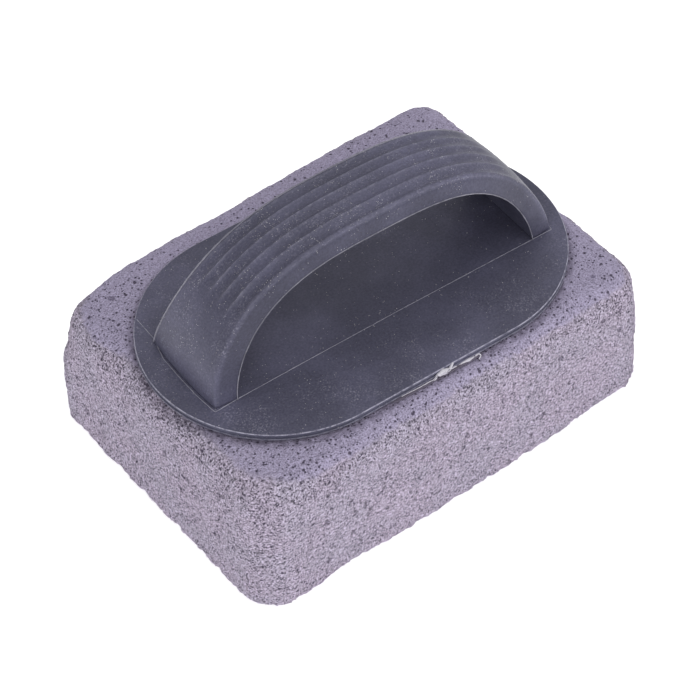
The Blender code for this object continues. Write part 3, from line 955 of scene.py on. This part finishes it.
# %% Note the outer side and the ridges, then close the grip
# These values are found from each point's index, so they are kept before points that coincide are merged
# Share of the ridges' painted highlight kept at the grip's shoulders.
SHOULDER_HIGHLIGHT_SHARE = 0.35
outside = calc(tree, "GREATER_THAN", level, 0.99)
shape = store(tree, shape, "outside", outside)
fade = flute_fade(tree, split(tree, own_position(tree))[0])
ridge = times(tree, remap(tree, flute, 0.50, 0.05), times(tree, outside, fade))
shoulder = calc(tree, "GREATER_THAN", calc(tree, "ABSOLUTE", side), 0.995)
shape = store(tree, shape, "ridge", times(tree, ridge, mix_numbers(tree, shoulder, 1.0, SHOULDER_HIGHLIGHT_SHARE)))
shape = add_node(tree, "GeometryNodeMergeByDistance", Geometry=shape, Distance=0.002 * MM).outputs[0]
position = own_position(tree)
near = minus(tree, 1.0, over(tree, split(tree, position)[2], given["Fillet"]))
near = clamped(tree, near, 0.0, 1.0)
spread = minus(tree, 1.0, calc(tree, "SQRT", minus(tree, 1.0, calc(tree, "POWER", near, 2.0))))
spread = times(tree, spread, given["Fillet"], 0.8)
flat_normal = vector_calc(tree, "MULTIPLY", own_normal(tree), (1.0, 1.0, 0.0))
spread = stretch(tree, vector_calc(tree, "NORMALIZE", flat_normal), spread)
shape = set_position(tree, shape, add_vectors(tree, position, spread))
finish_tree(tree, shape, given["Material"], result)
handle = run_geometry_tree(new_object("handle_moulding"), tree, grip_inputs)
print("grip:", triangles(handle), "triangles")

# %% [markdown]
# ## The plate, joined to the grip
#
# The plate is an oval with straight sides. Its wall is a stack of rings, with a small radius at the lower
# edge and a larger one at the rim. Plate and grip are one moulding, so a Boolean union makes them one
# closed mesh.

# %% Build the plate and join it
PLATE_END_STEPS = 72
# Inset and height, in mm, of each ring of the plate's wall: a lip below, a shallow groove and the round rim
RIM_POINTS = (
    (0.40, -2.20), (0.10, -2.20), (0.00, -2.12), (0.00, -1.95), (0.12, -1.85), (0.50, -1.72), (0.62, -1.45),
    (0.62, -1.15), (0.50, -0.90), (0.12, -0.76), (0.02, -0.66), (0.00, -0.52), (0.03, -0.36), (0.12, -0.20),
    (0.27, -0.07), (0.45, -0.015), (0.65, 0.00),
)


def plate_outline(inset):
    """The plate's oval, counterclockwise, moved inwards by inset."""
    straight = PLATE_HALF_LENGTH - PLATE_HALF_WIDTH
    radius = PLATE_HALF_WIDTH - inset
    points = []
    for middle, start in ((straight, -math.pi / 2), (-straight, math.pi / 2)):
        for step in range(PLATE_END_STEPS + 1):
            angle = start + math.pi * step / PLATE_END_STEPS
            points.append((middle + radius * math.cos(angle), radius * math.sin(angle)))
    return points


def mesh_object(name, bm):
    """An object that takes over a bmesh."""
    item = new_object(name)
    bm.to_mesh(item.data)
    bm.free()
    return item


def stack_of_rings(name, rings):
    """A closed body with a stack of rings for its wall."""
    bm = bmesh.new()
    rows = [[bm.verts.new(point) for point in ring] for ring in rings]
    for lower, upper in zip(rows, rows[1:]):
        for index in range(len(lower)):
            after = (index + 1) % len(lower)
            bm.faces.new((lower[index], lower[after], upper[after], upper[index]))
    bm.faces.new(reversed(rows[0]))
    bm.faces.new(rows[-1])
    return mesh_object(name, bm)


def close_ends(item):
    """Fills the two open ends of the grip and turns its faces outwards."""
    bm = bmesh.new()
    bm.from_mesh(item.data)
    edges = [edge for edge in bm.edges if edge.is_boundary]
    bmesh.ops.holes_fill(bm, edges=edges, sides=0)
    bmesh.ops.recalc_face_normals(bm, faces=bm.faces)
    open_edges = sum(1 for edge in bm.edges if not edge.is_manifold)
    bm.to_mesh(item.data)
    bm.free()
    return open_edges


print("open edges of the grip:", close_ends(handle))
plate = stack_of_rings("plate_body", [
    [(x, y, height * MM) for x, y in plate_outline(inset * MM)] for inset, height in RIM_POINTS
])
plate.data.materials.append(plastic_look)
union = handle.modifiers.new("plate", "BOOLEAN")
union.operation = "UNION"
union.solver = "EXACT"
union.object = plate
handle.data = plain_mesh(handle, "handle_moulding")
handle.modifiers.clear()
bpy.data.objects.remove(plate)
handle.data.transform(HANDLE_PLACE)
handle.data.shade_smooth()
handle.data.set_sharp_from_angle(angle=math.radians(28))
print("handle:", triangles(handle), "triangles,", [layer.name for layer in handle.data.attributes])
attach(handle, "root")
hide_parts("handle")

# %% [markdown]
# ## Mould lines and flash
#
# Where two halves of a mould meet, the plastic creeps into the joint and leaves a thin raised line. One
# runs over the plate, from its rim to the left foot, round the foot and along the grip's near side. Others
# follow the grip's near inner edge and its far outer edge. Each is a thin round bead, half sunk, swept
# along a path by a geometry tree. The far half of the plate's line is hidden in the photograph and follows
# the near half. The beads are coloured much paler than the plastic: a painted highlight along each line,
# and at the far outer edge a painted reflection.

# %% Beads along paths
def on_handle(points):
    """Points in mm, with their height above the base, as points in metres in the handle's own axes."""
    return [(x * MM, y * MM, (z - PLATE_TOP / MM) * MM, radius) for x, y, z, radius in points]


def bead(tree, curve, radius, wobble, step):
    """A round bead along a curve, its radius in mm. The wobble, in mm, shifts it from side to side."""
    settings = {"mode": "LENGTH"}
    even = add_node(tree, "GeometryNodeResampleCurve", settings, Curve=curve, Length=step).outputs[0]
    position = own_position(tree)
    texture = add_node(tree, "ShaderNodeTexNoise", {"noise_dimensions": "3D"}, Vector=position, Scale=900.0)
    shift = vector_calc(tree, "SUBTRACT", texture.outputs["Color"], (0.5, 0.5, 0.5))
    shift = stretch(tree, shift, times(tree, wobble, MM))
    even = set_position(tree, even, add_vectors(tree, position, shift))
    swell = remap(tree, noise(tree, position, 500.0), 0.3, 0.7, 0.65, 1.35, "LINEAR")
    ring = add_node(tree, "GeometryNodeCurvePrimitiveCircle", Resolution=8, Radius=MM).outputs[0]
    sweep = add_node(tree, "GeometryNodeCurveToMesh", Curve=even, Profile_Curve=ring, Fill_Caps=True)
    set_inputs(tree, sweep, Scale=times(tree, radius, swell))
    return sweep.outputs[0]


LINE_LEVEL = 51.21
LINE_RADIUS = 0.105
LINE_PATH = (
    (-59.4, 26.6), (-59.5, 17.4), (-61.6, 9.0), (-61.8, 1.2), (-61.7, -8.6), (-60.9, -17.0), (-52.8, -16.7),
    (-31.0, -16.5), (5.0, -16.4), (42.0, -16.7), (61.5, -16.9), (62.4, -8.0), (62.4, 8.0), (61.5, 16.9),
    (42.0, 16.7), (-59.5, 17.4),
)
# Plastic colours of the mould-line beads, much paler than the handle: a painted highlight along each raised
# line, and a painted reflection at the grip's far outer edge.
LINE_HIGHLIGHT_DARK = (0.240, 0.235, 0.290, 1.0)
LINE_HIGHLIGHT_PALE = (0.400, 0.392, 0.460, 1.0)
# Seams of the grip: side, level, offset across, offset outwards and how much thicker than the plate's line
SEAMS = (
    ("Near Inner Edge", -1.0, 0.0, 0.0, 0.05 * MM, 1.5),
    ("Far Outer Edge", 1.0, 1.0, -0.20 * MM, -0.20 * MM, 2.7),
)
line_points = [(x, y, LINE_LEVEL, LINE_RADIUS) for x, y in LINE_PATH]
plate_lines = curve_object("plate_lines", [on_handle(line_points)])
line_highlight_look = plastic_material("scuffed_ridge_look", LINE_HIGHLIGHT_DARK, LINE_HIGHLIGHT_PALE)
line_inputs = (
    ("Plate Lines", "NodeSocketObject", plate_lines),
    ("Inner Arch", "NodeSocketObject", inner_arch),
    ("Outer Arch", "NodeSocketObject", outer_arch),
    ("Line Radius", "NodeSocketFloat", LINE_RADIUS),
    ("Wobble", "NodeSocketFloat", 0.10),
    ("Step", "NodeSocketFloat", 0.5 * MM),
    ("Material", "NodeSocketMaterial", line_highlight_look),
)
tree, given, result = new_geometry_tree("mould_lines", line_inputs)
drawn = shape_of(tree, given["Plate Lines"])
beads = [bead(tree, drawn, given["Line Radius"], given["Wobble"], given["Step"])]
along = ease(tree, over(tree, own_index(tree), GRIP_SECTIONS - 1))
for label, side, level, across, out, swelling in SEAMS:
    row_of_points = add_node(tree, "GeometryNodeMeshLine", {"label": label}, Count=GRIP_SECTIONS)
    point = strap_point(tree, given, along, side, level, across, out, 0.0)
    seam = set_position(tree, row_of_points.outputs[0], point)
    seam = add_node(tree, "GeometryNodeMeshToCurve", Mesh=seam).outputs[0]
    thickness = times(tree, given["Line Radius"], swelling)
    beads.append(bead(tree, seam, thickness, given["Wobble"], given["Step"]))
joined = tree.nodes.new("GeometryNodeJoinGeometry")
for part in reversed(beads):
    tree.links.new(part, joined.inputs[0])
finish_tree(tree, joined.outputs[0], given["Material"], result)
lines = run_geometry_tree(new_object("mould_lines"), tree, line_inputs)
lines.data.transform(HANDLE_PLACE)
lines.data.shade_smooth()
for helper in (section_object, inner_arch, outer_arch, plate_lines):
    bpy.data.objects.remove(helper)
print("mould lines:", triangles(lines), "triangles")
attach(lines, "root")

# %% [markdown]
# ## The glue
#
# A thin pad of set glue holds the plate. Where it shows, in the gap under the plate's rim, it is coloured
# dark as painted shade. At the front a whitish strand was squeezed out, pulled up over the rim and left
# there; stone dust leaves dark patches on it. The pad is the plate's oval a little inside the rim. The
# strands are swept by the same kind of bead as the mould lines, with more wobble, and each point of their
# paths has its own radius.

# %% Material and pad of the glue
GLUE_INSET = 2.5 * MM
GLUE_LOW = 0.3 * MM + BLOCK_HEIGHT - PLATE_TOP
GLUE_HIGH = -PLATE_THICKNESS - 0.3 * MM
SQUEEZE_OUT = 0.7 * MM
SQUEEZE_ENDS = (-20 * MM, 19 * MM)
SQUEEZE_BLEND = 5 * MM
FRONT_STEPS = 56
GLUE_WHITE = (0.62, 0.60, 0.67, 1.0)
# Dark colour of the glue: painted shade on the pad in the gap under the plate's rim, stone dust on the
# strands.
GLUE_DUST_AND_SHADE = (0.150, 0.132, 0.178, 1.0)


def glue_material(name, clean):
    """White glue with a dark colour mixed in: stone dust on the strands, painted shade on the pad. The larger
    clean is, the less of it is dark.
    """
    material, tree, shader = new_material(name)
    place = object_place(tree)
    low = 0.68 - clean * 0.4
    high = 0.78 - clean * 0.4
    dust_and_shade = remap(tree, noise(tree, place, 420.0, 3.0, 0.7), low, high, 1.0, 0.0)
    wrinkles = bump(tree, noise(tree, place, 1300.0, 3.0, 0.6), 0.5, 0.15 * MM)
    colour = mix_colours(tree, dust_and_shade, GLUE_WHITE, GLUE_DUST_AND_SHADE)
    set_inputs(tree, shader, Base_Color=colour, Roughness=0.42, Normal=wrinkles)
    return material


def ramp(value):
    value = max(0.0, min(1.0, value))
    return value * value * (3.0 - 2.0 * value)


def squeezed(x, y):
    """How far the glue stands past its own inset outline."""
    if y > 0.0:
        return 0.0
    rising = ramp((x - SQUEEZE_ENDS[0]) / SQUEEZE_BLEND)
    falling = ramp((SQUEEZE_ENDS[1] - x) / SQUEEZE_BLEND)
    return (GLUE_INSET + SQUEEZE_OUT) * rising * falling


def glue_outline():
    """The inset oval, with points along its straight front for the part that was squeezed out."""
    oval = plate_outline(GLUE_INSET)
    (start_x, front_y), (end_x, _) = oval[-1], oval[0]
    steps = range(1, FRONT_STEPS)
    extra = [(start_x + (end_x - start_x) * step / FRONT_STEPS, front_y) for step in steps]
    return [(x, y - squeezed(x, y)) for x, y in oval + extra]


pad = stack_of_rings("glue_pad", [
    [(x, y, height) for x, y in glue_outline()] for height in (GLUE_LOW, GLUE_HIGH)
])
pad.data.transform(HANDLE_PLACE)
# Nearly all of the pad takes the dark colour, as painted shade in the gap under the plate's rim.
pad.data.materials.append(glue_material("dusty_glue_look", -0.4))
print("glue pad:", triangles(pad), "triangles")
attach(pad, "root")
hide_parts("glue_layer")

# %% Squeezed-out strands
# Each strand is a path of points: x, y, height above the base and radius, all in mm
STRANDS = (
    (
        (-2.1, -42.60, 48.4, 0.26), (-1.6, -42.75, 49.3, 0.34), (-1.1, -42.70, 50.0, 0.44),
        (0.0, -42.70, 50.3, 0.62), (1.1, -42.70, 50.5, 0.72), (2.2, -42.72, 50.1, 0.62),
        (3.3, -42.75, 49.9, 0.72), (4.0, -42.60, 50.5, 0.48), (4.4, -42.50, 50.9, 0.36),
        (4.9, -42.30, 51.3, 0.24),
    ),
    (
        (-0.4, -42.80, 49.5, 0.30), (0.8, -42.90, 49.7, 0.44), (2.2, -42.85, 49.4, 0.40),
        (3.6, -42.70, 49.3, 0.30),
    ),
    (
        (3.6, -42.60, 49.6, 0.30), (4.6, -42.45, 49.2, 0.22), (6.4, -42.48, 49.1, 0.18),
        (8.0, -42.45, 49.0, 0.24), (9.6, -42.55, 49.1, 0.40), (10.8, -42.60, 49.1, 0.50),
        (12.0, -42.50, 49.0, 0.30), (14.4, -42.30, 49.0, 0.20), (14.7, -42.70, 48.7, 0.18),
        (14.6, -43.00, 48.5, 0.18), (13.6, -43.60, 48.2, 0.16),
    ),
    ((-13.6, -42.40, 49.0, 0.10), (-8.0, -42.45, 48.9, 0.13), (-2.2, -42.50, 48.8, 0.16)),
)
strand_paths = curve_object("strand_paths", [on_handle(path) for path in STRANDS])
strand_inputs = (
    ("Paths", "NodeSocketObject", strand_paths),
    ("Wobble", "NodeSocketFloat", 0.35),
    ("Step", "NodeSocketFloat", 0.25 * MM),
    ("Material", "NodeSocketMaterial", glue_material("white_glue_look", 0.9)),
)
tree, given, result = new_geometry_tree("glue_strands", strand_inputs)
radius = named_value(tree, "radius")
strand = bead(tree, shape_of(tree, given["Paths"]), radius, given["Wobble"], given["Step"])
finish_tree(tree, strand, given["Material"], result)
strands = run_geometry_tree(new_object("glue_strands"), tree, strand_inputs)
bpy.data.objects.remove(strand_paths)
strands.data.transform(HANDLE_PLACE)
strands.data.shade_smooth()
print("glue strands:", triangles(strands), "triangles")
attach(strands, "root")

# %% [markdown]
# ## Stone dust on the plastic
#
# Sawing and rubbing leave pale crumbs on the handle. They are real grains, a fifth of a millimetre wide,
# strewn over the faces that look up. Noise gathers them in drifts, and a fixed seed keeps them where they
# are.

# %% Strew the dust
DUST_SEED = 5
GRAIN_RADIUS = 0.095 * MM
GRAINS_PER_SQUARE_METRE = 2300000.0
GRAIN_SIZES = (0.5, 1.5)
dust_look, tree, shader = new_material("stone_dust_look")
shade = remap(tree, noise(tree, object_place(tree), 300.0), 0.3, 0.7, 0.25, 0.60, "LINEAR")
dust_colour = join(tree, times(tree, shade, 0.97), times(tree, shade, 0.94), shade)
set_inputs(tree, shader, Base_Color=dust_colour, Roughness=0.9)
dust_inputs = (
    ("Handle", "NodeSocketObject", handle),
    ("Grains per Square Metre", "NodeSocketFloat", GRAINS_PER_SQUARE_METRE),
    ("Grain Radius", "NodeSocketFloat", GRAIN_RADIUS),
    ("Seed", "NodeSocketInt", DUST_SEED),
    ("Material", "NodeSocketMaterial", dust_look),
)
tree, given, result = new_geometry_tree("stone_dust", dust_inputs)
carrier = shape_of(tree, given["Handle"])
position = own_position(tree)
up = split(tree, own_normal(tree))[2]
drift = plus(tree, remap(tree, noise(tree, position, 75.0, 4.0, 0.75), 0.49, 0.73), 0.04)
share = times(tree, remap(tree, up, 0.1, 0.7), above_plate(tree, position, 0.35))
density = times(tree, share, drift, given["Grains per Square Metre"])
strewn = add_node(
    tree, "GeometryNodeDistributePointsOnFaces", {"distribute_method": "RANDOM"},
    Mesh=carrier, Density=density, Seed=given["Seed"],
)
grain = add_node(tree, "GeometryNodeMeshIcoSphere", Radius=given["Grain Radius"], Subdivisions=1)
dice = add_node(tree, "FunctionNodeRandomValue", {"data_type": "FLOAT"}, Seed=given["Seed"])
floats = [socket for socket in dice.inputs if socket.enabled and socket.name in ("Min", "Max")]
for socket, size in zip(floats, GRAIN_SIZES):
    socket.default_value = size
roll = next(socket for socket in dice.outputs if socket.enabled)
size = join(tree, times(tree, roll, 1.2), roll, times(tree, roll, 0.6))
placed = add_node(
    tree, "GeometryNodeInstanceOnPoints", Points=strewn.outputs["Points"],
    Instance=grain.outputs["Mesh"], Rotation=strewn.outputs["Rotation"], Scale=size,
)
finish_tree(tree, placed.outputs[0], given["Material"], result)
dust = run_geometry_tree(new_object("stone_dust"), tree, dust_inputs)
keep_inside(dust, cad_low, cad_high)
print("dust:", triangles(dust) // 20, "grains")
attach(dust, "root")

# %% [markdown]
# ## Floor, light and camera
#
# The photograph has a white surround and soft light from several sides. Five area lights stand for softboxes:
# they brighten the front wall and shade the flutes. A pale floor and a pale world fill the rest. The camera
# stands where a fit of the block's and the handle's outlines puts it.

# %% Floor and light
PLAIN_WHITE = (1.0, 1.0, 1.0, 1.0)
FLOOR_WHITE = (0.9, 0.9, 0.9, 1.0)
FLOOR_GLOW = 0.6
SKY_LOW = 0.52
SKY_HIGH = 0.38
# Softboxes: name, azimuth and elevation in degrees, distance and size in metres, and power in watts
SOFTBOXES = (
    ("front_softbox", 5, 34, 1.1, 0.9, 1.6),
    ("right_softbox", 62, 40, 1.1, 0.8, 1.6),
    ("top_softbox", 20, 78, 1.1, 0.9, 2.1),
    ("back_softbox", 143, 48, 1.2, 0.9, 0.9),
    ("left_softbox", -54, 28, 1.1, 0.45, 2.3),
)
LIT_PLACE = Vector((0.0, 0.0, 0.03))
floor_look, tree, shader = new_material("studio_floor")
set_inputs(tree, shader, Base_Color=FLOOR_WHITE, Roughness=0.8, Emission_Color=PLAIN_WHITE)
set_inputs(tree, shader, Emission_Strength=FLOOR_GLOW)
bm = bmesh.new()
bmesh.ops.create_grid(bm, x_segments=1, y_segments=1, size=3.0)
floor = mesh_object("floor", bm)
floor.location.z = -0.2 * MM
floor.data.materials.append(floor_look)

world = bpy.data.worlds.new("studio_world")
world.use_nodes = True
tree = world.node_tree
sky_height = split(tree, tree.nodes.new("ShaderNodeTexCoord").outputs["Generated"])[2]
sky_light = remap(tree, sky_height, 0.05, 0.85, SKY_LOW, SKY_HIGH)
set_inputs(tree, tree.nodes["Background"], Color=PLAIN_WHITE, Strength=sky_light)
bpy.context.scene.world = world
bpy.context.scene.view_settings.view_transform = "Standard"


def direction(azimuth, elevation):
    """A unit vector away from the block. Azimuth 0 is in front, and 90 degrees is at the right end."""
    flat = math.cos(elevation)
    return Vector((math.sin(azimuth) * flat, -math.cos(azimuth) * flat, math.sin(elevation)))


for name, azimuth, elevation, distance, size, power in SOFTBOXES:
    away = direction(math.radians(azimuth), math.radians(elevation))
    data = bpy.data.lights.new(name, "AREA")
    data.shape = "SQUARE"
    data.size = size
    data.energy = power
    softbox = new_object(name, data)
    softbox.location = away * distance + LIT_PLACE
    softbox.rotation_euler = away.to_track_quat("Z", "Y").to_euler()
print(len(SOFTBOXES), "softboxes")

# %% Camera
CAMERA_AZIMUTH = math.radians(-37.327)
CAMERA_ELEVATION = math.radians(47.947)
CAMERA_ROLL = math.radians(-1.430)
CAMERA_DISTANCE = 853.2 * MM
CAMERA_ASIDE = 0.102 * MM
CAMERA_UPWARDS = 13.388 * MM
CAMERA_FOCAL = 2740.36 / 700 * 36
FIT_SHIFT = 0.7 * MM
back = direction(CAMERA_AZIMUTH, CAMERA_ELEVATION)
right = Vector((math.cos(CAMERA_AZIMUTH), math.sin(CAMERA_AZIMUTH), 0.0))
up = back.cross(right)
rolled_right = right * math.cos(CAMERA_ROLL) + up * math.sin(CAMERA_ROLL)
rolled_up = up * math.cos(CAMERA_ROLL) - right * math.sin(CAMERA_ROLL)
camera_data = bpy.data.cameras.new("photo_camera")
camera_data.sensor_width = 36
camera_data.lens = CAMERA_FOCAL
camera_data.clip_start = 0.01
camera = new_object("photo_camera", camera_data)
place = back * CAMERA_DISTANCE + rolled_right * CAMERA_ASIDE + rolled_up * CAMERA_UPWARDS
place -= Vector((FIT_SHIFT, 0.0, 0.0))
axes = Matrix((rolled_right, rolled_up, back)).transposed().to_4x4()
camera.matrix_world = Matrix.Translation(place) @ axes
bpy.context.scene.camera = camera
print("camera at", [round(value * 1000, 1) for value in place], "mm, lens", round(CAMERA_FOCAL, 1))
